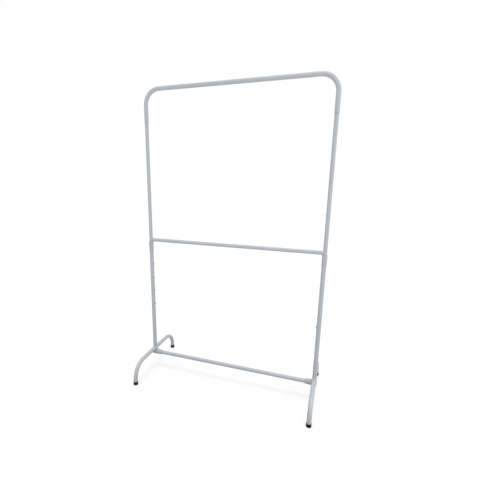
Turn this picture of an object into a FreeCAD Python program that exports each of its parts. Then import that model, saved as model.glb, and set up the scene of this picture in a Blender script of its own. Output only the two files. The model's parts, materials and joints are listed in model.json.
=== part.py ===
"""Height-adjustable clothes rack: a bent-tube rail on telescopic uprights, standing on two arch feet."""
import FreeCAD
import Part
import Sketcher
import math
import os
from FreeCAD import Placement, Rotation, Vector

# Driving dimensions in millimetres; counts are plain numbers
SIZES = {
    # Layout: upright to upright, and front leg to back leg, all centre to centre
    "span": 930,
    "foot_spread": 458,
    # Arch foot: tube, bend at its centre line, straight leg under the bend, stub on top
    "foot_od": 22,
    "foot_wall": 1.2,
    "foot_bend": 87,
    "foot_leg": 22,
    "stub_height": 45,
    # Rubber foot cap
    "cap_wall": 1.5,
    "cap_floor": 4,
    "cap_height": 18,
    "cap_edge": 2.5,
    # Telescopic uprights
    "upper_od": 19,
    "upper_wall": 1.0,
    "upper_reach": 614,
    "lower_wall": 1.0,
    "lower_length": 590,
    "tube_tail": 35,
    # Sleeve that joins the lower tube to the stub
    "spigot_wall": 1.2,
    "spigot_lift": 5,
    "spigot_reach": 40,
    # Collar at the mouth of the lower tube
    "collar_wall": 1.2,
    "collar_rim": 0.5,
    "collar_taper": 12,
    "collar_skirt": 44,
    "collar_lip": 10,
    "collar_edge": 0.8,
    # Bush at the lower end of the upper tube
    "bush_flange": 4,
    "bush_plug": 14,
    "bush_wall": 1.5,
    # Height lock: a row of holes and a sprung button
    "hole_count": 4,
    "hole_pitch": 80,
    "top_hole_drop": 120,
    "button_od": 8,
    "button_rise": 2.5,
    "button_round": 2.6,
    "spring_width": 9.5,
    "spring_thick": 0.6,
    "spring_foot": 6,
    "spring_length": 42,
    "spring_apex": 2,
    # Top rail
    "rail_wall": 1.0,
    "rail_bend": 75,
    "rail_leg": 85,
    "rail_socket": 60,
    # Cross bars
    "mid_od": 19,
    "mid_wall": 1.0,
    "low_od": 21,
    "low_wall": 1.0,
    "low_drop": 23,
    # Bracket that holds an end of the bottom bar under the arch
    "bracket_od": 32,
    "bracket_rise": 0.5,
    "bracket_tail": 12,
    "bracket_shoulder": 2,
    "bracket_taper": 34,
    "bracket_lug": 8,
    "bracket_edge": 4,
    "socket_wall": 2,
    "socket_depth": 29,
    # Plug that carries an end of the mid bar, and where the cut ends of tubes stop short of the crossing axis
    "plug_reach": 38,
    "plug_floor": 8,
    "cope_trim": 4,
    # Bolts with a six-sided socket, screws with a cross slot, rivet nuts
    "bolt_od": 6,
    "bolt_head_od": 10,
    "bolt_head": 3.4,
    "bolt_grip": 9,
    "bolt_drive": 4,
    "bolt_drive_depth": 2,
    "screw_od": 4,
    "screw_head_od": 7.5,
    "screw_head": 2,
    "screw_drive": 4.2,
    "screw_drive_depth": 1.2,
    "screw_slot": 1,
    "screw_length": 6,
    "screw_rise": 20,
    "head_round": 1.2,
    "nut_od": 9,
    "nut_flange_od": 12,
    "nut_flange": 1,
    "nut_length": 13,
    # Clearances, all on the radius or one side
    "telescope_gap": 0.5,
    "slide_fit": 0.08,
    "fit_gap": 0.05,
    "stop_gap": 0.3,
    "hole_gap": 0.35,
    "spring_gap": 0.3,
}

# Edges closer to a wanted place than this count as lying on it
ON_PLACE = 0.001

# Each side is built with its own +X pointing at the middle of the rack
SIDES = {"left": ("-sizes.span / 2", 0), "right": ("sizes.span / 2", 180)}

# Turns for a fastener, whose head lies at its own minus X
UPRIGHT = Vector(0, 0, 1)
HEAD_BEHIND = Rotation(UPRIGHT, -90)
HEAD_BELOW = Rotation(Vector(0, 1, 0), -90)
HEAD_INBOARD = {side: Rotation(UPRIGHT, turn + 180) for side, (_, turn) in SIDES.items()}

# Diameters that follow from the pieces inside them
LOWER_BORE = "(sizes.upper_od + 2 * sizes.telescope_gap)"
LOWER_OD = f"({LOWER_BORE} + 2 * sizes.lower_wall)"
UPPER_BORE = "(sizes.upper_od - 2 * sizes.upper_wall)"
RAIL_BORE = "(sizes.upper_od + 2 * sizes.fit_gap)"
RAIL_OD = f"({RAIL_BORE} + 2 * sizes.rail_wall)"
BUTTON_HOLE = "(sizes.button_od + 2 * sizes.hole_gap)"
BOLT_HOLE = "(sizes.bolt_od + 2 * sizes.fit_gap)"
SCREW_HOLE = "(sizes.screw_od + 2 * sizes.fit_gap)"
NUT_HOLE = "(sizes.nut_od + 2 * sizes.fit_gap)"
FLANGE_HOLE = "(sizes.nut_flange_od + 2 * sizes.fit_gap)"
FLANGE_ROOM = "(sizes.nut_flange + 2 * sizes.fit_gap)"
HEAD_HOLE = "(sizes.bolt_head_od + 2 * sizes.hole_gap)"

# Heights above the floor, from the bottom up
ARCH_AXIS = "(sizes.cap_floor + sizes.foot_leg + sizes.foot_bend)"
ARCH_TOP = f"({ARCH_AXIS} + sizes.foot_od / 2)"
STUB_TOP = f"({ARCH_TOP} + sizes.stub_height)"
MOUTH = f"({STUB_TOP} + sizes.lower_length)"
COLLAR_TOP = f"({MOUTH} + sizes.collar_lip)"
LOCK = f"({MOUTH} - sizes.top_hole_drop - (sizes.hole_count - 1) * sizes.hole_pitch)"
MID_AXIS = f"({COLLAR_TOP} + sizes.stop_gap + sizes.mid_od / 2)"
RAIL_FOOT = f"({MID_AXIS} + sizes.upper_reach)"
UPPER_FOOT = f"({LOCK} - sizes.tube_tail)"
UPPER_TOP = f"({RAIL_FOOT} + sizes.rail_socket)"

# Distances from the arch to the bracket's shoulder, its mouth and the end of the bottom bar
SHOULDER = "(sizes.foot_od / 2 + sizes.bracket_shoulder)"
BRACKET_MOUTH = f"({SHOULDER} + sizes.bracket_taper)"
BAR_INSET = f"({BRACKET_MOUTH} - sizes.socket_depth + sizes.fit_gap)"

doc = FreeCAD.newDocument("clothes_rack")
nodes = []


def fill_sheet():
    """Put every driving dimension into the sheet, under its own alias."""
    sheet = doc.addObject("Spreadsheet::Sheet", "sizes")
    for row, (alias, number) in enumerate(SIZES.items(), start=1):
        sheet.set(f"A{row}", alias)
        sheet.set(f"B{row}", str(number))
        sheet.setAlias(f"B{row}", alias)
    doc.recompute()


def add_body(label, x="0", y="0", z="0", turn=Rotation()):
    """Start a sub-part whose place follows expressions."""
    body = doc.addObject("PartDesign::Body", label)
    body.Label = label
    body.Placement = Placement(Vector(), turn)
    for axis, place in zip("xyz", (x, y, z)):
        body.setExpression(f"Placement.Base.{axis}", place)
    nodes.append(body)
    return body


def side_body(side, name, z="0", y="0"):
    """Start a sub-part of one side of the rack."""
    x, turn = SIDES[side]
    return add_body(f"{side}_{name}", x, y, z, Rotation(UPRIGHT, turn))


def origin_part(body, role):
    """Find a plane or axis of the body's own origin."""
    return next(part for part in body.Origin.OriginFeatures if part.Role == role)


def add_sketch(body, role, **shift):
    """Attach a sketch to an origin plane, moved by expressions in the plane's own axes."""
    sketch = body.newObject("Sketcher::SketchObject", f"{body.Label}_sketch")
    sketch.AttachmentSupport = [(origin_part(body, role), "")]
    sketch.MapMode = "FlatFace"
    for axis, place in shift.items():
        sketch.setExpression(f"AttachmentOffset.Base.{axis}", place)
    return sketch


def bind(sketch, kind, *where, size):
    """Add a constraint whose value follows an expression."""
    index = sketch.addConstraint(Sketcher.Constraint(kind, *where, sketch.evalExpression(size)))
    sketch.setExpression(f"Constraints[{index}]", size)


def draw_circle(sketch, diameter, x="0", y="0"):
    """Draw a circle with its diameter and centre bound."""
    centre = Vector(sketch.evalExpression(x), sketch.evalExpression(y), 0)
    radius = sketch.evalExpression(diameter) / 2
    index = sketch.addGeometry(Part.Circle(centre, Vector(0, 0, 1), radius))
    bind(sketch, "Diameter", index, size=diameter)
    bind(sketch, "DistanceX", -1, 1, index, 3, size=x)
    bind(sketch, "DistanceY", -1, 1, index, 3, size=y)


def draw_polygon(sketch, corners):
    """Draw a closed outline whose corners are each bound to two expressions."""
    points = [Vector(sketch.evalExpression(x), sketch.evalExpression(y), 0) for x, y in corners]
    for start, end in zip(points, points[1:] + points[:1]):
        sketch.addGeometry(Part.LineSegment(start, end))
    for index, (x, y) in enumerate(corners):
        previous = (index - 1) % len(corners)
        sketch.addConstraint(Sketcher.Constraint("Coincident", index, 1, previous, 2))
        bind(sketch, "DistanceX", -1, 1, index, 1, size=x)
        bind(sketch, "DistanceY", -1, 1, index, 1, size=y)


def draw_arch(sketch, width, leg, bend, foot):
    """Draw an open path: leg up, bend, straight run, bend, leg down, centred on the sketch."""
    half = sketch.evalExpression(width) / 2
    straight, radius, low = (sketch.evalExpression(size) for size in (leg, bend, foot))
    high = low + straight
    top = high + radius
    run = half - radius
    quarter = math.pi / 2
    centre_in = Part.Circle(Vector(-run, high, 0), Vector(0, 0, 1), radius)
    centre_out = Part.Circle(Vector(run, high, 0), Vector(0, 0, 1), radius)
    sketch.addGeometry(Part.LineSegment(Vector(-half, low, 0), Vector(-half, high, 0)))
    sketch.addGeometry(Part.ArcOfCircle(centre_in, quarter, 2 * quarter))
    sketch.addGeometry(Part.LineSegment(Vector(-run, top, 0), Vector(run, top, 0)))
    sketch.addGeometry(Part.ArcOfCircle(centre_out, 0, quarter))
    sketch.addGeometry(Part.LineSegment(Vector(half, high, 0), Vector(half, low, 0)))
    leg_in, bend_in, run_top, bend_out, leg_out = range(5)
    for joint in ((leg_in, 2, bend_in, 2), (bend_in, 1, run_top, 1),
                  (run_top, 2, bend_out, 2), (bend_out, 1, leg_out, 1)):
        sketch.addConstraint(Sketcher.Constraint("Tangent", *joint))
    sketch.addConstraint(Sketcher.Constraint("Equal", bend_in, bend_out))
    sketch.addConstraint(Sketcher.Constraint("Vertical", leg_in))
    sketch.addConstraint(Sketcher.Constraint("Horizontal", run_top))
    sketch.addConstraint(Sketcher.Constraint("Symmetric", leg_in, 1, leg_out, 2, -2))
    bind(sketch, "Radius", bend_in, size=bend)
    bind(sketch, "DistanceX", leg_in, 1, leg_out, 2, size=width)
    bind(sketch, "DistanceY", leg_in, 1, leg_in, 2, size=leg)
    bind(sketch, "DistanceY", -1, 1, leg_in, 1, size=foot)


def add_feature(body, kind, sketch):
    """Add a sketch-based feature to the body."""
    feature = body.newObject(f"PartDesign::{kind}", f"{body.Label}_{kind.lower()}")
    feature.Profile = sketch
    return feature


def add_pad(body, sketch, length, side="One side", back=False):
    """Raise a solid from a sketch."""
    feature = add_feature(body, "Pad", sketch)
    feature.setExpression("Length", length)
    feature.SideType = side
    feature.Reversed = back
    doc.recompute()
    return feature


def add_pocket(body, sketch, length=None, side="One side", back=False):
    """Cut a sketch into the solid, right through where no length is given, and see that it cuts."""
    before = body.Shape.Volume
    feature = add_feature(body, "Pocket", sketch)
    feature.SideType = side
    feature.Reversed = back
    if length is None:
        feature.Type = "ThroughAll"
    else:
        feature.setExpression("Length", length)
    doc.recompute()
    if body.Shape.Volume >= before:
        raise RuntimeError(f"{feature.Label} cuts nothing")
    return feature


def add_revolution(body, sketch, axis):
    """Turn a sketch into a solid about one of the body's axes."""
    feature = add_feature(body, "Revolution", sketch)
    feature.ReferenceAxis = (origin_part(body, axis), [""])
    doc.recompute()
    return feature


def near(number, wanted):
    """Say whether a measured number is the wanted one."""
    return abs(number - wanted) < ON_PLACE


def circle_at(edge, axis, level):
    """Say whether an edge is a circle whose centre lies at a level along an axis."""
    return isinstance(edge.Curve, Part.Circle) and near(getattr(edge.Curve.Center, axis), level)


def round_edges(body, radius, wanted):
    """Round the edges of the newest feature that a test picks out."""
    base = body.Tip
    picked = [f"Edge{number}" for number, edge in enumerate(base.Shape.Edges, start=1) if wanted(edge)]
    feature = body.newObject("PartDesign::Fillet", f"{body.Label}_fillet")
    feature.Base = (base, picked)
    feature.setExpression("Radius", radius)
    doc.recompute()


def soften(body, radius, axis, place):
    """Round the outermost circular edge that lies at a place along an axis of the body."""
    level = body.Tip.evalExpression(place)
    rim = max(edge.Curve.Radius for edge in body.Tip.Shape.Edges if circle_at(edge, axis, level))
    round_edges(body, radius, lambda edge: circle_at(edge, axis, level) and near(edge.Curve.Radius, rim))


def curl(body, half, height):
    """Round the two edges across a strip that lie at a half width and a height, by that half width."""
    reach, level = body.Tip.evalExpression(half), body.Tip.evalExpression(height)

    def on_corner(edge):
        centre = edge.CenterOfMass
        return near(abs(centre.x), reach) and near(centre.z, level)

    round_edges(body, half, on_corner)


def ring_pad(body, role, outer, inner, length, side="One side", **shift):
    """Make a straight tube square to an origin plane."""
    sketch = add_sketch(body, role, **shift)
    draw_circle(sketch, outer)
    draw_circle(sketch, inner)
    add_pad(body, sketch, length, side)


def sweep_tube(body, role, width, leg, bend, foot, outer, inner, **start):
    """Bend a tube along an arch that is drawn in one of the body's upright planes."""
    path = add_sketch(body, role)
    draw_arch(path, width, leg, bend, foot)
    section = add_sketch(body, "XY_Plane", z=foot, **start)
    draw_circle(section, outer)
    draw_circle(section, inner)
    pipe = add_feature(body, "AdditivePipe", section)
    pipe.Spine = (path, [])
    doc.recompute()


def inner_hole(body, diameter, height):
    """Drill the wall of an upright tube that faces the middle of the rack."""
    sketch = add_sketch(body, "YZ_Plane")
    draw_circle(sketch, diameter, y=height)
    return add_pocket(body, sketch, back=True)


def hole_row(body, height, downward):
    """Drill the row of lock holes, from one height down or up."""
    first = inner_hole(body, BUTTON_HOLE, height)
    row = body.newObject("PartDesign::LinearPattern", f"{body.Label}_row")
    row.Originals = [first]
    row.Direction = (origin_part(body, "Z_Axis"), [""])
    row.Reversed = downward
    row.Mode = "Spacing"
    row.setExpression("Offset", "sizes.hole_pitch")
    row.setExpression("Occurrences", "sizes.hole_count")
    body.Tip = row


def back_hole(body, side, diameter, height):
    """Drill the wall of an upright tube that faces the back of the rack."""
    sketch = add_sketch(body, "XZ_Plane")
    draw_circle(sketch, diameter, y=height)
    return add_pocket(body, sketch, back=side == "right")


def turned(body, corners, axis="Z_Axis"):
    """Turn an outline about one of the body's axes."""
    sketch = add_sketch(body, "XZ_Plane")
    draw_polygon(sketch, corners)
    add_revolution(body, sketch, axis)


def hexagon(width):
    """Corners of a six-sided socket of a width across its flats."""
    reach = f"{width} / sqrt(3)"
    return [(f"{reach} * cos({angle} deg)", f"{reach} * sin({angle} deg)") for angle in range(0, 360, 60)]


def cross(width, slot):
    """Corners of a cross slot, a quarter turn at a time."""
    arm, half = f"{width} / 2", f"{slot} / 2"
    quarter = [(arm, f"-({half})"), (arm, half), (half, half)]
    corners = []
    for _ in range(4):
        corners += quarter
        quarter = [(f"-({y})", x) for x, y in quarter]
    return corners


def fastener(body, kind, seat, tip, drive):
    """Headed fastener on the X axis, with its head against the seat and a drive recess in the head."""
    outer = f"({seat} - sizes.{kind}_head)"
    head, shank = f"sizes.{kind}_head_od / 2", f"sizes.{kind}_od / 2"
    outline = [(outer, "0"), (outer, head), (seat, head), (seat, shank), (tip, shank), (tip, "0")]
    turned(body, outline, "X_Axis")
    soften(body, "sizes.head_round", "x", outer)
    recess = add_sketch(body, "YZ_Plane", z=outer)
    draw_polygon(recess, drive)
    add_pocket(body, recess, f"sizes.{kind}_drive_depth", back=True)


def bolt(body, seat, tip):
    """Bolt with a six-sided socket."""
    fastener(body, "bolt", seat, tip, hexagon("sizes.bolt_drive"))


def rivet_nut(body, wall):
    """Threaded sleeve set in a tube's wall, which lies at minus X."""
    face = f"(-({wall}) - sizes.fit_gap)"
    flange_face, end = f"({face} - sizes.nut_flange)", f"({face} + sizes.nut_length)"
    bore, sleeve, flange = f"{BOLT_HOLE} / 2", "sizes.nut_od / 2", "sizes.nut_flange_od / 2"
    turned(body, [(flange_face, bore), (flange_face, flange), (face, flange), (face, sleeve), (end, sleeve),
                  (end, bore)], "X_Axis")


def arch_foot(side):
    """Bent tube from front to back, drilled underneath for the rivet nut."""
    body = side_body(side, "arch_foot")
    sweep_tube(body, "YZ_Plane", "sizes.foot_spread", "sizes.foot_leg", "sizes.foot_bend", "sizes.cap_floor",
               "sizes.foot_od", "sizes.foot_od - 2 * sizes.foot_wall", y="-sizes.foot_spread / 2")
    drill = add_sketch(body, "XY_Plane", z=ARCH_AXIS)
    draw_circle(drill, NUT_HOLE)
    add_pocket(body, drill, "sizes.foot_od")


def foot_cap(side, end, y):
    """Rubber cup on the end of a leg."""
    body = side_body(side, f"{end}_cap", y=y)
    bore = "(sizes.foot_od / 2 + sizes.fit_gap)"
    rim = f"({bore} + sizes.cap_wall)"
    turned(body, [("0", "0"), (rim, "0"), (rim, "sizes.cap_height"), (bore, "sizes.cap_height"),
                  (bore, "sizes.cap_floor"), ("0", "sizes.cap_floor")])
    soften(body, "sizes.cap_edge", "z", "0")


def foot_stub(side):
    """Short tube whose lower end is cut to sit on the arch."""
    body = side_body(side, "foot_stub", ARCH_AXIS)
    height = "sizes.foot_od / 2 + sizes.stub_height - sizes.cope_trim"
    ring_pad(body, "XY_Plane", LOWER_OD, LOWER_BORE, height, z="sizes.cope_trim")
    saddle = add_sketch(body, "XZ_Plane")
    draw_circle(saddle, "sizes.foot_od + 2 * sizes.fit_gap")
    add_pocket(body, saddle, side="Symmetric")


def joint_spigot(side):
    """Sleeve inside the stub and the lower tube."""
    body = side_body(side, "joint_spigot", f"{ARCH_TOP} + sizes.spigot_lift")
    outer = f"({LOWER_BORE} - 2 * sizes.fit_gap)"
    in_stub = "(sizes.stub_height - sizes.spigot_lift)"
    ring_pad(body, "XY_Plane", outer, f"{outer} - 2 * sizes.spigot_wall", f"{in_stub} + sizes.spigot_reach")
    back_hole(body, side, SCREW_HOLE, f"{in_stub} + sizes.screw_rise")


def lower_tube(side):
    """Outer tube of the upright, with the row of lock holes on its inner side."""
    body = side_body(side, "lower_tube", STUB_TOP)
    ring_pad(body, "XY_Plane", LOWER_OD, LOWER_BORE, "sizes.lower_length")
    back_hole(body, side, SCREW_HOLE, "sizes.screw_rise")
    hole_row(body, "sizes.lower_length - sizes.top_hole_drop", downward=True)


def collar(side):
    """Sleeve over the mouth of the lower tube; its lip guides the upper tube."""
    body = side_body(side, "collar", f"{MOUTH} - sizes.collar_skirt")
    top = "(sizes.collar_skirt + sizes.collar_lip)"
    skirt = f"({LOWER_OD} / 2 + sizes.fit_gap)"
    lip = "(sizes.upper_od / 2 + sizes.slide_fit)"
    outer = f"({skirt} + sizes.collar_wall)"
    turned(body, [(skirt, "0"), (f"{skirt} + sizes.collar_rim", "0"), (outer, "sizes.collar_taper"),
                  (outer, top), (lip, top), (lip, "sizes.collar_skirt"), (skirt, "sizes.collar_skirt")])
    soften(body, "sizes.collar_edge", "z", top)


def upper_tube(side):
    """Inner tube of the upright, drilled for the mid bar's nut, the rail's screw and the lock."""
    body = side_body(side, "upper_tube", UPPER_FOOT)
    ring_pad(body, "XY_Plane", "sizes.upper_od", UPPER_BORE, f"{UPPER_TOP} - {UPPER_FOOT}")
    inner_hole(body, NUT_HOLE, f"{MID_AXIS} - {UPPER_FOOT}")
    back_hole(body, side, SCREW_HOLE, f"{RAIL_FOOT} + sizes.screw_rise - {UPPER_FOOT}")
    hole_row(body, "sizes.tube_tail", downward=False)


def guide_bush(side):
    """Plug in the end of the upper tube; its flange runs in the lower tube."""
    body = side_body(side, "guide_bush", UPPER_FOOT)
    plug = f"({UPPER_BORE} / 2 - sizes.fit_gap)"
    bore = f"({plug} - sizes.bush_wall)"
    flange = f"({LOWER_BORE} / 2 - sizes.slide_fit)"
    low = "-sizes.bush_flange"
    turned(body, [(bore, low), (flange, low), (flange, "0"), (plug, "0"), (plug, "sizes.bush_plug"),
                  (bore, "sizes.bush_plug")])


def snap_clip(side):
    """Leaf spring bent to a narrow V, with the lock button on its inward leg."""
    body = side_body(side, "snap_clip", LOCK)
    reach = f"sqrt(({UPPER_BORE} / 2 - sizes.spring_gap) ^ 2 - (sizes.spring_width / 2) ^ 2)"
    leaf = f"({reach} - sizes.spring_thick)"
    apex = "sizes.spring_apex"
    inner_apex = "(sizes.spring_apex - sizes.spring_thick)"
    foot, top = "sizes.spring_foot", "sizes.spring_length"
    inner_top = "(sizes.spring_length - sizes.spring_thick)"
    outside = [(reach, f"-{foot}"), (reach, foot), (apex, top)]
    inside = [(inner_apex, inner_top), (leaf, foot), (leaf, f"-{foot}")]
    mirrored = [[(f"-{x}", z) for x, z in reversed(leg)] for leg in (outside, inside)]
    strip = add_sketch(body, "XZ_Plane")
    draw_polygon(strip, outside + mirrored[0] + mirrored[1] + inside)
    add_pad(body, strip, "sizes.spring_width", "Symmetric")
    curl(body, apex, top)
    curl(body, inner_apex, inner_top)
    tip = f"({LOWER_OD} / 2 + sizes.button_rise)"
    button = add_sketch(body, "YZ_Plane", z=leaf)
    draw_circle(button, "sizes.button_od")
    add_pad(body, button, f"{tip} - {leaf}")
    soften(body, "sizes.button_round", "x", tip)


def top_rail():
    """Bent tube across the top; its legs slip over the upper tubes."""
    body = add_body("top_rail", z=RAIL_FOOT)
    sweep_tube(body, "XZ_Plane", "sizes.span", "sizes.rail_leg", "sizes.rail_bend", "0", RAIL_OD, RAIL_BORE,
               x="-sizes.span / 2")
    drill = add_sketch(body, "XZ_Plane")
    draw_circle(drill, SCREW_HOLE, x="-sizes.span / 2", y="sizes.screw_rise")
    hole = add_pocket(body, drill)
    pair = body.newObject("PartDesign::Mirrored", "top_rail_mirrored")
    pair.Originals = [hole]
    pair.MirrorPlane = (origin_part(body, "YZ_Plane"), [""])
    body.Tip = pair


def mid_bar():
    """Straight tube whose ends are cut to sit against the upper tubes."""
    body = add_body("mid_bar", z=MID_AXIS)
    ring_pad(body, "YZ_Plane", "sizes.mid_od", "sizes.mid_od - 2 * sizes.mid_wall",
             "sizes.span - 2 * sizes.cope_trim", "Symmetric")
    saddles = add_sketch(body, "XY_Plane")
    for x, _ in SIDES.values():
        draw_circle(saddles, RAIL_BORE, x=x)
    add_pocket(body, saddles, side="Symmetric")


def bottom_bar():
    """Straight tube between the brackets."""
    body = add_body("bottom_bar", z=f"{ARCH_AXIS} - sizes.low_drop")
    ring_pad(body, "YZ_Plane", "sizes.low_od", "sizes.low_od - 2 * sizes.low_wall",
             f"sizes.span - 2 * {BAR_INSET}", "Symmetric")


def bar_bracket(side):
    """Moulded end fitting: a round lug under the arch that tapers to a socket for the bottom bar."""
    body = side_body(side, "bar_bracket", ARCH_AXIS)
    lug_axis = "sizes.bracket_rise - sizes.low_drop"
    bore = "(sizes.low_od + 2 * sizes.fit_gap)"
    wide = add_sketch(body, "YZ_Plane", z=SHOULDER)
    draw_circle(wide, "sizes.bracket_od", y=lug_axis)
    narrow = add_sketch(body, "YZ_Plane", z=BRACKET_MOUTH)
    draw_circle(narrow, f"{bore} + 2 * sizes.socket_wall", y="-sizes.low_drop")
    taper = add_feature(body, "AdditiveLoft", wide)
    taper.Sections = [narrow]
    doc.recompute()
    lug = add_sketch(body, "YZ_Plane", z=SHOULDER)
    draw_circle(lug, "sizes.bracket_od", y=lug_axis)
    add_pad(body, lug, f"{SHOULDER} + sizes.bracket_tail", back=True)
    soften(body, "sizes.bracket_edge", "x", "-sizes.bracket_tail")
    saddle = add_sketch(body, "XZ_Plane")
    draw_circle(saddle, "sizes.foot_od + 2 * sizes.fit_gap")
    add_pocket(body, saddle, side="Symmetric")
    socket = add_sketch(body, "YZ_Plane", z=BRACKET_MOUTH)
    draw_circle(socket, bore, y="-sizes.low_drop")
    add_pocket(body, socket, "sizes.socket_depth")
    drill = add_sketch(body, "XY_Plane")
    draw_circle(drill, BOLT_HOLE)
    add_pocket(body, drill)
    flange = add_sketch(body, "XY_Plane")
    draw_circle(flange, FLANGE_HOLE)
    add_pocket(body, flange, f"sizes.foot_od / 2 + {FLANGE_ROOM}")
    recess = add_sketch(body, "XY_Plane", z="-sizes.foot_od / 2 - sizes.bracket_lug")
    draw_circle(recess, HEAD_HOLE)
    add_pocket(body, recess)


def bracket_bolt(side):
    """Bolt that pulls the bracket up against the arch."""
    body = add_body(f"{side}_bracket_bolt", SIDES[side][0], z=ARCH_AXIS, turn=HEAD_BELOW)
    bolt(body, "(-sizes.foot_od / 2 - sizes.bracket_lug)", "(sizes.bolt_grip - sizes.foot_od / 2)")


def bracket_nut(side):
    """Nut in the underside of the arch."""
    body = add_body(f"{side}_bracket_nut", SIDES[side][0], z=ARCH_AXIS, turn=HEAD_BELOW)
    rivet_nut(body, "sizes.foot_od / 2")


def bar_plug(side):
    """Plug on the inner side of the upper tube, over which the mid bar slips."""
    body = side_body(side, "bar_plug", MID_AXIS)
    ring_pad(body, "YZ_Plane", "sizes.mid_od - 2 * sizes.mid_wall - 2 * sizes.fit_gap", BOLT_HOLE,
             "sizes.plug_reach - sizes.cope_trim", z="sizes.cope_trim")
    saddle = add_sketch(body, "XY_Plane")
    draw_circle(saddle, RAIL_BORE)
    add_pocket(body, saddle, side="Symmetric")
    flange = add_sketch(body, "YZ_Plane", z=f"sizes.upper_od / 2 + {FLANGE_ROOM}")
    draw_circle(flange, FLANGE_HOLE)
    add_pocket(body, flange)
    well = add_sketch(body, "YZ_Plane", z="sizes.upper_od / 2 + sizes.plug_floor")
    draw_circle(well, HEAD_HOLE)
    add_pocket(body, well, back=True)


def bar_bolt(side):
    """Bolt inside the plug that holds it to the upper tube."""
    body = add_body(f"{side}_bar_bolt", SIDES[side][0], z=MID_AXIS, turn=HEAD_INBOARD[side])
    bolt(body, "(-sizes.upper_od / 2 - sizes.plug_floor)", "(sizes.bolt_grip - sizes.upper_od / 2)")


def bar_nut(side):
    """Nut in the inner wall of the upper tube."""
    body = add_body(f"{side}_bar_nut", SIDES[side][0], z=MID_AXIS, turn=HEAD_INBOARD[side])
    rivet_nut(body, "sizes.upper_od / 2")


def tube_screw(side, name, foot, outer_od):
    """Screw at the back, through the outer of two nested tubes into the inner one."""
    body = add_body(f"{side}_{name}", SIDES[side][0], z=f"{foot} + sizes.screw_rise", turn=HEAD_BEHIND)
    seat = f"(-{outer_od} / 2 - sizes.fit_gap)"
    tip = f"({seat} + sizes.screw_length)"
    fastener(body, "screw", seat, tip, cross("sizes.screw_drive", "sizes.screw_slot"))


def build():
    """Make every sub-part of the rack."""
    fill_sheet()
    for side in SIDES:
        arch_foot(side)
        foot_cap(side, "front", "-sizes.foot_spread / 2")
        foot_cap(side, "back", "sizes.foot_spread / 2")
        foot_stub(side)
        joint_spigot(side)
        lower_tube(side)
        tube_screw(side, "spigot_screw", STUB_TOP, LOWER_OD)
        collar(side)
        bar_bracket(side)
        bracket_bolt(side)
        bracket_nut(side)
        upper_tube(side)
        guide_bush(side)
        snap_clip(side)
        bar_plug(side)
        bar_bolt(side)
        bar_nut(side)
        tube_screw(side, "rail_screw", RAIL_FOOT, RAIL_OD)
    top_rail()
    mid_bar()
    bottom_bar()
    doc.recompute()


def write_parts():
    """Check every object, then write one file for each sub-part."""
    for item in doc.Objects:
        if {"Invalid", "Error"} & set(item.State):
            raise RuntimeError(f"{item.Label} failed: {item.State}")
    for node in nodes:
        if node.Shape.isNull() or not node.Shape.isValid():
            raise RuntimeError(f"{node.Label} has no valid shape")
    os.makedirs("parts", exist_ok=True)
    for node in nodes:
        node.Shape.exportStep(f"parts/{node.Label}.step")
        print(f"{node.Label}: {len(node.Shape.Solids)} solid, {node.Shape.Volume:.1f} mm3")


build()
write_parts()
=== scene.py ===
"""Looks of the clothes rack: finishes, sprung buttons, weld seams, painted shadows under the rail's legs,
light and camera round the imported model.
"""
import json
import math
from types import SimpleNamespace

import bmesh
import bpy
from mathutils import Euler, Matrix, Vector

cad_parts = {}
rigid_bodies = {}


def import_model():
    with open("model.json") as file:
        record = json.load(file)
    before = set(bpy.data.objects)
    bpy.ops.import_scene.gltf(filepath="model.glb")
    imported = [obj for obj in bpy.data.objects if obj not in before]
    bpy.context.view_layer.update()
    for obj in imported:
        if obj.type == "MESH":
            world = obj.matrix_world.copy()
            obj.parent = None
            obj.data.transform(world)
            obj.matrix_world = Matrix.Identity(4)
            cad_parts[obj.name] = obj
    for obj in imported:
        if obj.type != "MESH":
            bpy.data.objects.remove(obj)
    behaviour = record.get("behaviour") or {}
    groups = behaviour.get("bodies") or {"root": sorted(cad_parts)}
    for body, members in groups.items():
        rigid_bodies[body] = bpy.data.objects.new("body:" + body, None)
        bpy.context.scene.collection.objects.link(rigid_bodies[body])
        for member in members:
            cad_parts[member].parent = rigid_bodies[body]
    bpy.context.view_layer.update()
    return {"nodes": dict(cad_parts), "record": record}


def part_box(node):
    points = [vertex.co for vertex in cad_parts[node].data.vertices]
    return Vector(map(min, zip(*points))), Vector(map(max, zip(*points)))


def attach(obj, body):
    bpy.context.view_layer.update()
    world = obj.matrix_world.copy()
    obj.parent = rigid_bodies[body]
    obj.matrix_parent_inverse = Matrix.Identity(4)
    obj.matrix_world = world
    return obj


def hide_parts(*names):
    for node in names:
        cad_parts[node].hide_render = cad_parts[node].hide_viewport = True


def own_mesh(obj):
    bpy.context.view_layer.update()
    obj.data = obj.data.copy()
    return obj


for item in list(bpy.data.objects):
    bpy.data.objects.remove(item)
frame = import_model()

# Photograph, in pixels: width of the frame, focal length, and where the optical axis meets the picture
FRAME_PX = 480
FOCAL_PX = 353.1
AXIS_PX = (206.2, 259.4)
SENSOR_MM = 36

# Viewpoint, in metres and radians
EYE = (0.5255, -1.709, 1.1565)
YAW = 0.3682
PITCH = 0.2475

# Each side's direction towards the middle of the rack
INWARD = {"left": 1, "right": -1}

# Sprung button and its leaf spring, in metres
BUTTON_RADIUS = 0.004
BUTTON_ROUND = 0.0026
SPRING_THICK = 0.0006
SPRING_FOOT = 0.006
SPRING_APEX = 0.002
SPRING_EDGE = 0.0001

# Weld seam between arch and stub, in metres: bead, and how far it stays above the arch's axis
BEAD_RADIUS = 0.0013
BEAD_RIPPLE = 0.1
BEAD_RIPPLES = 36
BEAD_CLEAR = 0.004

# Wear, in metres: depth of paint on the uprights, fade of their marks of sliding, and top of the caps' dust
PAINT_SKIN = 0.0001
RUB_FADE = 0.02
DUST_TOP = 0.006
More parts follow.
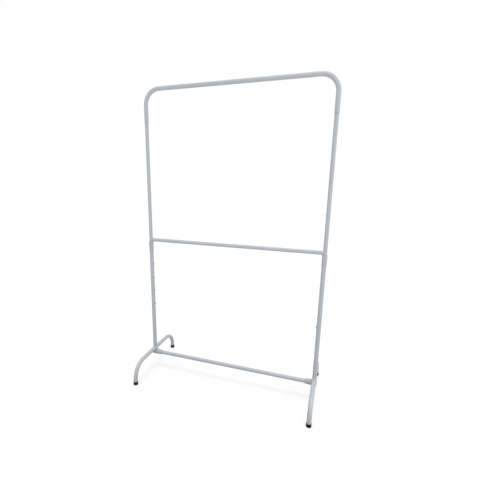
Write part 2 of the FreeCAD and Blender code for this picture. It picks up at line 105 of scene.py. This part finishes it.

# Painted shadow under each leg of the rail: a dark ring standing in for the shade in the seam, in metres
GAP_SHADOW_HEIGHT = 0.001
GAP_SHADOW_PROUD = 0.0004

# Steps round a turned piece, round a bead, along a seam and along a bend, and the angle of a sharp edge
TURN_STEPS = 40
BEAD_STEPS = 10
SEAM_STEPS = 288
BEND_STEPS = 12
SHARP_ANGLE = math.radians(40)

# Floor, in metres: half its width, and where it turns from its darker grey under the rack to its pale one
FLOOR_HALF = 8
FLOOR_REACH = (0.5, 1.4)
FLOOR_TONES = (0.35, 0.8)

# Light: level all round, strength and spread in radians of what comes from above, and a lamp in front
AROUND_STRENGTH = 0.72
OVERHEAD_STRENGTH = 0.9
OVERHEAD_SPREAD = 0.35
FRONT_POWER = 62
FRONT_SIZE = 3
FRONT_PLACE = (3.8, -3.4, 3.3)
FRONT_TARGET = (0, 0, 1.1)

# Tones of the paint: mottling, marks of hands, scuffs, thin edges, marks of sliding, and bare steel darkened
# nearly to black as painted shade inside the bores
PAINT_COOL = (0.466, 0.503, 0.545)
PAINT_WARM = (0.528, 0.560, 0.590)
PAINT_HANDLED = (0.445, 0.474, 0.503)
PAINT_SCUFFED = (0.405, 0.430, 0.455)
PAINT_THIN = (0.33, 0.34, 0.35)
PAINT_RUBBED = (0.37, 0.39, 0.41)
BORE_STEEL_AND_SHADE = (0.030, 0.028, 0.027)

# Tones of the plastic, the rubber and the plated and blued steel
PLASTIC_DARK = (0.455, 0.483, 0.513)
PLASTIC_PALE = (0.485, 0.512, 0.540)
PLASTIC_RUBBED = (0.55, 0.57, 0.59)
RUBBER_DARK = (0.004, 0.004, 0.005)
RUBBER_PALE = (0.010, 0.010, 0.011)
RUBBER_DUST = (0.15, 0.14, 0.13)
ZINC_COOL = (0.58, 0.60, 0.63)
ZINC_WARM = (0.67, 0.66, 0.62)
BLUED_DARK = (0.050, 0.055, 0.068)
BLUED_PALE = (0.095, 0.092, 0.095)


class Finish:
    """A node material under construction, in object coordinates, so that one unit is a metre."""

    def __init__(self, name):
        self.material = bpy.data.materials.new(name)
        self.material.use_nodes = True
        self.tree = self.material.node_tree
        self.shader = self.tree.nodes["Principled BSDF"]
        self.place = self.add("ShaderNodeTexCoord").outputs["Object"]

    def add(self, kind, **settings):
        node = self.tree.nodes.new(kind)
        for name, value in settings.items():
            setattr(node, name, value)
        return node

    def join(self, output, target):
        self.tree.links.new(output, target)

    def noise(self, cells, detail, stretch=(1, 1, 1)):
        """Value of a noise with so many cells to a metre, drawn out along an axis by a small stretch."""
        mapping = self.add("ShaderNodeMapping")
        mapping.inputs["Scale"].default_value = stretch
        self.join(self.place, mapping.inputs["Vector"])
        noise = self.add("ShaderNodeTexNoise")
        noise.inputs["Scale"].default_value = cells
        noise.inputs["Detail"].default_value = detail
        self.join(mapping.outputs["Vector"], noise.inputs["Vector"])
        return noise.outputs["Fac"]

    def spread(self, value, low, high, start=0.0, end=1.0):
        """Value taken from the range of start to end to that of low to high."""
        node = self.add("ShaderNodeMapRange")
        for socket, number in zip(("From Min", "From Max", "To Min", "To Max"), (start, end, low, high)):
            node.inputs[socket].default_value = number
        self.join(value, node.inputs["Value"])
        return node.outputs["Result"]

    def height(self, low, high):
        """Value that rises from 0 to 1 between two heights."""
        split = self.add("ShaderNodeSeparateXYZ")
        self.join(self.place, split.inputs["Vector"])
        return self.spread(split.outputs["Z"], 0, 1, start=low, end=high)

    def distance(self, near, far):
        """Value that rises from 0 to 1 between two distances from the middle."""
        length = self.add("ShaderNodeVectorMath", operation="LENGTH")
        self.join(self.place, length.inputs[0])
        return self.spread(length.outputs["Value"], 0, 1, start=near, end=far)

    def inside(self, axis, radius):
        """Value that is 1 within a radius of the upright lines left and right of the middle."""
        split = self.add("ShaderNodeSeparateXYZ")
        self.join(self.place, split.inputs["Vector"])
        out = self.add("ShaderNodeMath", operation="ABSOLUTE")
        self.join(split.outputs["X"], out.inputs[0])
        across = self.add("ShaderNodeMath", operation="SUBTRACT")
        self.join(out.outputs["Value"], across.inputs[0])
        across.inputs[1].default_value = axis
        flat = self.add("ShaderNodeCombineXYZ")
        self.join(across.outputs["Value"], flat.inputs["X"])
        self.join(split.outputs["Y"], flat.inputs["Y"])
        length = self.add("ShaderNodeVectorMath", operation="LENGTH")
        self.join(flat.outputs["Vector"], length.inputs[0])
        near = self.add("ShaderNodeMath", operation="LESS_THAN")
        self.join(length.outputs["Value"], near.inputs[0])
        near.inputs[1].default_value = radius
        return near.outputs["Value"]

    def edges(self, radius):
        """Value that is 0 on open faces and rises on edges sharper than a radius."""
        soft = self.add("ShaderNodeBevel", samples=4)
        soft.inputs["Radius"].default_value = radius
        plain = self.add("ShaderNodeNewGeometry")
        dot = self.add("ShaderNodeVectorMath", operation="DOT_PRODUCT")
        self.join(soft.outputs["Normal"], dot.inputs[0])
        self.join(plain.outputs["Normal"], dot.inputs[1])
        return self.spread(dot.outputs["Value"], 1, 0, start=0.75, end=0.98)

    def multiply(self, first, second):
        node = self.add("ShaderNodeMath", operation="MULTIPLY")
        self.join(first, node.inputs[0])
        self.join(second, node.inputs[1])
        return node.outputs["Value"]

    def blend(self, factor, first, second):
        """Colour between two, each a tone or the output of a node."""
        node = self.add("ShaderNodeMix", data_type="RGBA")
        self.join(factor, node.inputs["Factor"])
        for name, colour in (("A", first), ("B", second)):
            socket = next(s for s in node.inputs if s.name == name and s.type == "RGBA")
            if isinstance(colour, tuple):
                socket.default_value = (*colour, 1)
            else:
                self.join(colour, socket)
        return next(s for s in node.outputs if s.type == "RGBA")

    def colour(self, output):
        self.join(output, self.shader.inputs["Base Color"])

    def roughness(self, output):
        self.join(output, self.shader.inputs["Roughness"])

    def relief(self, *layers):
        """Bump from layers of value, strength and depth in metres, each on top of the one before."""
        normal = None
        for value, strength, depth in layers:
            bump = self.add("ShaderNodeBump")
            bump.inputs["Strength"].default_value = strength
            bump.inputs["Distance"].default_value = depth
            self.join(value, bump.inputs["Height"])
            if normal is not None:
                self.join(normal, bump.inputs["Normal"])
            normal = bump.outputs["Normal"]
        self.join(normal, self.shader.inputs["Normal"])


def powder_coat(name="powder_coat", upright=None, rubbed=None):
    """Pale blue-grey stove paint: orange peel, faint mottling, scuffs, and thin paint on sharp edges.

    An upright, given as its axis and outer radius, is bare steel within its painted skin, darkened nearly to
    black as painted shade in its bore and holes. Below the height from which it is rubbed, it has streaks
    from sliding.
    """
    finish = Finish(name)
    mottled = finish.blend(finish.noise(cells=7, detail=4), PAINT_COOL, PAINT_WARM)
    prints = finish.spread(finish.noise(cells=26, detail=5), 0, 0.5, start=0.45, end=0.75)
    handled = finish.blend(prints, mottled, PAINT_HANDLED)
    scuffs = finish.spread(finish.noise(cells=90, detail=6), 0, 0.6, start=0.6, end=0.74)
    scuffed = finish.blend(scuffs, handled, PAINT_SCUFFED)
    patches = finish.spread(finish.noise(cells=240, detail=3), 0, 0.8, start=0.45, end=0.65)
    worn = finish.multiply(finish.edges(radius=0.0006), patches)
    painted = finish.blend(worn, scuffed, PAINT_THIN)
    if rubbed:
        lines = finish.noise(cells=700, detail=3, stretch=(1, 1, 0.02))
        streaks = finish.spread(lines, 0, 0.7, start=0.5, end=0.7)
        marks = finish.multiply(streaks, finish.height(rubbed, rubbed - RUB_FADE))
        painted = finish.blend(marks, painted, PAINT_RUBBED)
    if upright:
        axis, radius = upright
        # Within the painted skin: bare steel, made near-black as painted shade in the bores and holes
        painted = finish.blend(finish.inside(axis, radius - PAINT_SKIN), painted, BORE_STEEL_AND_SHADE)
    finish.colour(painted)
    finish.roughness(finish.spread(finish.noise(cells=45, detail=4), 0.30, 0.50, start=0.3, end=0.7))
    peel = finish.noise(cells=520, detail=1)
    grain = finish.noise(cells=1900, detail=2)
    finish.relief((peel, 0.2, 0.0004), (grain, 0.05, 0.0001))
    return finish.material


def moulded_plastic():
    """Pale satin plastic with a fine spark-eroded grain."""
    finish = Finish("moulded_plastic")
    clouded = finish.blend(finish.noise(cells=30, detail=3), PLASTIC_DARK, PLASTIC_PALE)
    rubbed = finish.multiply(finish.edges(radius=0.0008), finish.noise(cells=180, detail=2))
    finish.colour(finish.blend(rubbed, clouded, PLASTIC_RUBBED))
    finish.roughness(finish.spread(finish.noise(cells=400, detail=2), 0.42, 0.58))
    finish.relief((finish.noise(cells=2600, detail=2), 0.16, 0.00012))
    finish.shader.inputs["Specular IOR Level"].default_value = 0.45
    return finish.material


def black_rubber():
    """Moulded rubber, dusty where it stands on the floor."""
    finish = Finish("black_rubber")
    body = finish.blend(finish.noise(cells=120, detail=3), RUBBER_DARK, RUBBER_PALE)
    patches = finish.spread(finish.noise(cells=300, detail=4), 0, 0.55, start=0.42, end=0.75)
    dust = finish.multiply(finish.height(DUST_TOP, 0), patches)
    finish.colour(finish.blend(dust, body, RUBBER_DUST))
    finish.roughness(finish.spread(finish.noise(cells=260, detail=3), 0.55, 0.78))
    finish.relief((finish.noise(cells=1400, detail=2), 0.2, 0.0002))
    finish.shader.inputs["Specular IOR Level"].default_value = 0.12
    return finish.material


def zinc_steel():
    """Zinc-plated steel with a faint cloudy passivation."""
    finish = Finish("zinc_steel")
    finish.colour(finish.blend(finish.noise(cells=150, detail=3), ZINC_COOL, ZINC_WARM))
    finish.roughness(finish.spread(finish.noise(cells=700, detail=3), 0.28, 0.46))
    finish.relief((finish.noise(cells=2200, detail=2), 0.08, 0.0001))
    finish.shader.inputs["Metallic"].default_value = 1
    return finish.material


def spring_steel():
    """Blued spring steel with fine lines along the strip."""
    finish = Finish("spring_steel")
    lines = finish.noise(cells=3200, detail=2, stretch=(1, 1, 0.03))
    finish.colour(finish.blend(finish.noise(cells=210, detail=3), BLUED_DARK, BLUED_PALE))
    finish.roughness(finish.spread(lines, 0.24, 0.42))
    finish.relief((lines, 0.1, 0.00005))
    finish.shader.inputs["Metallic"].default_value = 1
    return finish.material


def dress_nodes(finishes):
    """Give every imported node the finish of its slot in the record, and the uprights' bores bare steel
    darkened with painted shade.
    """
    for part in frame["record"]["subparts"]:
        for slot in frame["nodes"][part["node"]].material_slots:
            slot.material = finishes[part["material_slot"]]
    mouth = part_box("right_collar")[1].z
    for tube, rubbed in (("lower_tube", None), ("upper_tube", mouth)):
        low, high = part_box(f"right_{tube}")
        finish = powder_coat(f"powder_coat_{tube}", ((low.x + high.x) / 2, (high.x - low.x) / 2), rubbed)
        for side in INWARD:
            for slot in frame["nodes"][f"{side}_{tube}"].material_slots:
                slot.material = finish


def add_piece(name, mesh, finish, body):
    """Turn a mesh into a piece that rides on a body."""
    for face in mesh.faces:
        face.smooth = True
    bmesh.ops.recalc_face_normals(mesh, faces=mesh.faces)
    data = bpy.data.meshes.new(name)
    mesh.to_mesh(data)
    mesh.free()
    data.set_sharp_from_angle(angle=SHARP_ANGLE)
    data.materials.append(finish)
    piece = bpy.data.objects.new(name, data)
    bpy.context.scene.collection.objects.link(piece)
    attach(piece, body)
    return piece


def ring_mesh(rings, close_ends=False, close_loop=False):
    """Mesh skinned over rings of points, with its ends closed or joined to each other."""
    mesh = bmesh.new()
    loops = [[mesh.verts.new(point) for point in ring] for ring in rings]
    pairs = list(zip(loops, loops[1:]))
    if close_loop:
        pairs.append((loops[-1], loops[0]))
    for near, far in pairs:
        for index in range(len(near)):
            after = (index + 1) % len(near)
            mesh.faces.new((near[index], near[after], far[after], far[index]))
    if close_ends:
        mesh.faces.new(loops[0])
        mesh.faces.new(loops[-1])
    return mesh


def clip_place(side):
    """Find the upright's axis, the button's height and tip, and the spring's reach, top and half width."""
    low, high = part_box(f"{side}_snap_clip")
    tube_low, tube_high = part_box(f"{side}_upper_tube")
    axis = (tube_low.x + tube_high.x) / 2
    outer, tip = (low.x, high.x) if INWARD[side] > 0 else (high.x, low.x)
    return SimpleNamespace(axis=axis, lock=low.z + SPRING_FOOT, tip=abs(tip - axis), reach=abs(outer - axis),
                           top=high.z, half_width=high.y)


def add_button(side, finish):
    """Round-nosed lock button, which moves with its joint and stands for the snap clip."""
    clip = clip_place(side)
    flat = BUTTON_RADIUS - BUTTON_ROUND
    neck = clip.tip - BUTTON_ROUND
    profile = [(clip.reach - SPRING_THICK, BUTTON_RADIUS), (neck, BUTTON_RADIUS)]
    for step in range(1, BEND_STEPS + 1):
        angle = math.pi / 2 * step / BEND_STEPS
        profile.append((neck + BUTTON_ROUND * math.sin(angle), flat + BUTTON_ROUND * math.cos(angle)))
    turns = [2 * math.pi * step / TURN_STEPS for step in range(TURN_STEPS)]
    rings = []
    for x, radius in profile:
        place = clip.axis + INWARD[side] * x
        rings.append([(place, radius * math.cos(turn), clip.lock + radius * math.sin(turn))
                      for turn in turns])
    nose = ring_mesh(rings, close_ends=True)
    piece = add_piece(f"{side}_lock_button", nose, finish, f"{side}_button")
    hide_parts(f"{side}_snap_clip")


def spring_line(reach, top):
    """Centre line of the spring: foot, straight leg, round apex, and the same down the other side."""
    knee = reach - SPRING_THICK / 2
    radius = SPRING_APEX - SPRING_THICK / 2
    centre = top - SPRING_APEX
    rise = centre - SPRING_FOOT
    lean = math.atan2(knee, rise) - math.asin(radius / math.hypot(knee, rise))
    half = [(knee, -SPRING_FOOT), (knee, SPRING_FOOT)]
    for step in range(BEND_STEPS):
        angle = lean + (math.pi / 2 - lean) * step / BEND_STEPS
        half.append((radius * math.cos(angle), centre + radius * math.sin(angle)))
    return half + [(0, centre + radius)] + [(-x, z) for x, z in reversed(half)]


def add_spring(side, finish):
    """Leaf spring bent to a narrow V, which rides on the upper frame."""
    clip = clip_place(side)
    line = [Vector(point) for point in spring_line(clip.reach, clip.top - clip.lock)]
    rings = []
    for index, point in enumerate(line):
        run = (line[min(index + 1, len(line) - 1)] - line[max(index - 1, 0)]).normalized()
        out = Vector((run.y, -run.x)) * SPRING_THICK / 2
        corners = [(point + out, -clip.half_width), (point + out, clip.half_width),
                   (point - out, clip.half_width), (point - out, -clip.half_width)]
        rings.append([(clip.axis + INWARD[side] * place.x, y, clip.lock + place.y) for place, y in corners])
    strip = ring_mesh(rings, close_ends=True)
    piece = add_piece(f"{side}_leaf_spring", strip, finish, "upper_frame")
    rounding = piece.modifiers.new("edges", "BEVEL")
    rounding.width = SPRING_EDGE
    rounding.segments = 2
    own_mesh(piece)
    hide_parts(f"{side}_snap_clip")


def add_weld(side, finish):
    """Rippled bead where the stub is welded to the arch, under the same paint."""
    foot_low, foot_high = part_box(f"{side}_arch_foot")
    stub_low, stub_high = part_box(f"{side}_foot_stub")
    radius = (stub_high.x - stub_low.x) / 2
    axis = Vector(((foot_low.x + foot_high.x) / 2, 0, foot_high.z - (foot_high.x - foot_low.x) / 2))

    def seam(turn):
        depth = math.sin(turn) * radius
        return Vector((math.cos(turn) * radius, depth, math.hypot(depth, BEAD_CLEAR)))

    pitch = 2 * math.pi / SEAM_STEPS
    angles = [2 * math.pi * corner / BEAD_STEPS for corner in range(BEAD_STEPS)]
    rings = []
    for step in range(SEAM_STEPS):
        turn = 2 * math.pi * step / SEAM_STEPS
        along = (seam(turn + pitch) - seam(turn - pitch)).normalized()
        outward = Vector((math.cos(turn), math.sin(turn), 0))
        outward = (outward - along * outward.dot(along)).normalized()
        across = along.cross(outward)
        bead = BEAD_RADIUS * (1 + BEAD_RIPPLE * math.sin(BEAD_RIPPLES * turn))
        rings.append([axis + seam(turn) + bead * (outward * math.cos(angle) + across * math.sin(angle))
                      for angle in angles])
    add_piece(f"{side}_weld", ring_mesh(rings, close_loop=True), finish, "lower_frame")


def add_gap_shadow(side, finish):
    """Dark ring round the upper tube where a leg of the rail ends: a painted shadow of the seam's gap."""
    tube_low, tube_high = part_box(f"{side}_upper_tube")
    axis = (tube_low.x + tube_high.x) / 2
    radius = (tube_high.x - tube_low.x) / 2
    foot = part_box("top_rail")[0].z
    profile = [(radius, foot), (radius + GAP_SHADOW_PROUD, foot), (radius + GAP_SHADOW_PROUD, foot - GAP_SHADOW_HEIGHT),
               (radius, foot - GAP_SHADOW_HEIGHT)]
    rings = []
    for step in range(SEAM_STEPS):
        turn = 2 * math.pi * step / SEAM_STEPS
        rings.append([(axis + out * math.cos(turn), out * math.sin(turn), z) for out, z in profile])
    add_piece(f"{side}_rail_gap_shadow", ring_mesh(rings, close_loop=True), finish, "upper_frame")


def add_floor():
    """Pale floor, greyer under the rack, that keeps the shadow and looks white where none falls."""
    data = bpy.data.meshes.new("floor")
    corners = [(-FLOOR_HALF, -FLOOR_HALF, 0), (FLOOR_HALF, -FLOOR_HALF, 0),
               (FLOOR_HALF, FLOOR_HALF, 0), (-FLOOR_HALF, FLOOR_HALF, 0)]
    data.from_pydata(corners, [], [(0, 1, 2, 3)])
    floor = bpy.data.objects.new("floor", data)
    bpy.context.scene.collection.objects.link(floor)
    finish = Finish("floor")
    away = finish.distance(*FLOOR_REACH)
    finish.colour(finish.blend(away, *[(tone, tone, tone) for tone in FLOOR_TONES]))
    finish.shader.inputs["Roughness"].default_value = 0.9
    finish.shader.inputs["Specular IOR Level"].default_value = 0
    finish.shader.inputs["Emission Color"].default_value = (1, 1, 1, 1)
    lit = AROUND_STRENGTH + OVERHEAD_STRENGTH / math.pi
    lift = finish.spread(away, *[1 - tone * lit for tone in FLOOR_TONES])
    finish.join(finish.multiply(seen_rays(finish.tree), lift), finish.shader.inputs["Emission Strength"])
    data.materials.append(finish.material)


def seen_rays(tree):
    """Value that is 1 for rays from the camera, from gloss and through glass."""
    path = tree.nodes.new("ShaderNodeLightPath")
    value = path.outputs["Is Camera Ray"]
    for name in ("Is Glossy Ray", "Is Transmission Ray"):
        either = tree.nodes.new("ShaderNodeMath")
        either.operation = "MAXIMUM"
        tree.links.new(value, either.inputs[0])
        tree.links.new(path.outputs[name], either.inputs[1])
        value = either.outputs["Value"]
    return value


def light_world():
    """White surroundings to look at, with a plain soft level to light by."""
    world = bpy.data.worlds.new("studio")
    bpy.context.scene.world = world
    world.use_nodes = True
    tree = world.node_tree
    soft = tree.nodes["Background"]
    soft.inputs["Color"].default_value = (1, 1, 1, 1)
    soft.inputs["Strength"].default_value = AROUND_STRENGTH
    white = tree.nodes.new("ShaderNodeBackground")
    white.inputs["Color"].default_value = (1, 1, 1, 1)
    mix = tree.nodes.new("ShaderNodeMixShader")
    tree.links.new(seen_rays(tree), mix.inputs["Fac"])
    tree.links.new(soft.outputs["Background"], mix.inputs[1])
    tree.links.new(white.outputs["Background"], mix.inputs[2])
    tree.links.new(mix.outputs["Shader"], tree.nodes["World Output"].inputs["Surface"])


def add_overhead():
    """Soft light from straight above, as strong at the top of the rack as at the floor."""
    lamp = bpy.data.lights.new("overhead", "SUN")
    lamp.energy = OVERHEAD_STRENGTH
    lamp.angle = OVERHEAD_SPREAD
    bpy.context.scene.collection.objects.link(bpy.data.objects.new("overhead", lamp))


def add_front():
    """Large square lamp in front and to the right, nearer to the top of the rack than to its feet."""
    lamp = bpy.data.lights.new("front", "AREA")
    lamp.energy = FRONT_POWER
    lamp.size = FRONT_SIZE
    holder = bpy.data.objects.new("front", lamp)
    holder.location = FRONT_PLACE
    aim = Vector(FRONT_TARGET) - Vector(FRONT_PLACE)
    holder.rotation_euler = aim.to_track_quat("-Z", "Y").to_euler()
    holder.visible_camera = False
    bpy.context.scene.collection.objects.link(holder)


def add_camera():
    """Camera at the photograph's place, with its lens and off-centre frame."""
    lens = bpy.data.cameras.new("camera")
    lens.sensor_width = SENSOR_MM
    lens.lens = SENSOR_MM * FOCAL_PX / FRAME_PX
    lens.shift_x = 0.5 - AXIS_PX[0] / FRAME_PX
    lens.shift_y = AXIS_PX[1] / FRAME_PX - 0.5
    camera = bpy.data.objects.new("camera", lens)
    camera.location = EYE
    camera.rotation_euler = Euler((math.pi / 2 - PITCH, 0, YAW))
    bpy.context.scene.collection.objects.link(camera)
    bpy.context.scene.camera = camera


finishes = {
    "grey_paint": powder_coat(),
    "grey_plastic": moulded_plastic(),
    "black_rubber": black_rubber(),
    "zinc_steel": zinc_steel(),
    "spring_steel": spring_steel(),
}
dress_nodes(finishes)
for side in INWARD:
    add_button(side, finishes["spring_steel"])
    add_spring(side, finishes["spring_steel"])
    add_weld(side, finishes["grey_paint"])
    # Painted shadow: a dark blued-steel ring standing in for the shade in each rail seam
    add_gap_shadow(side, finishes["spring_steel"])
add_floor()
light_world()
add_overhead()
add_front()
add_camera()
bpy.context.scene.view_settings.view_transform = "Standard"
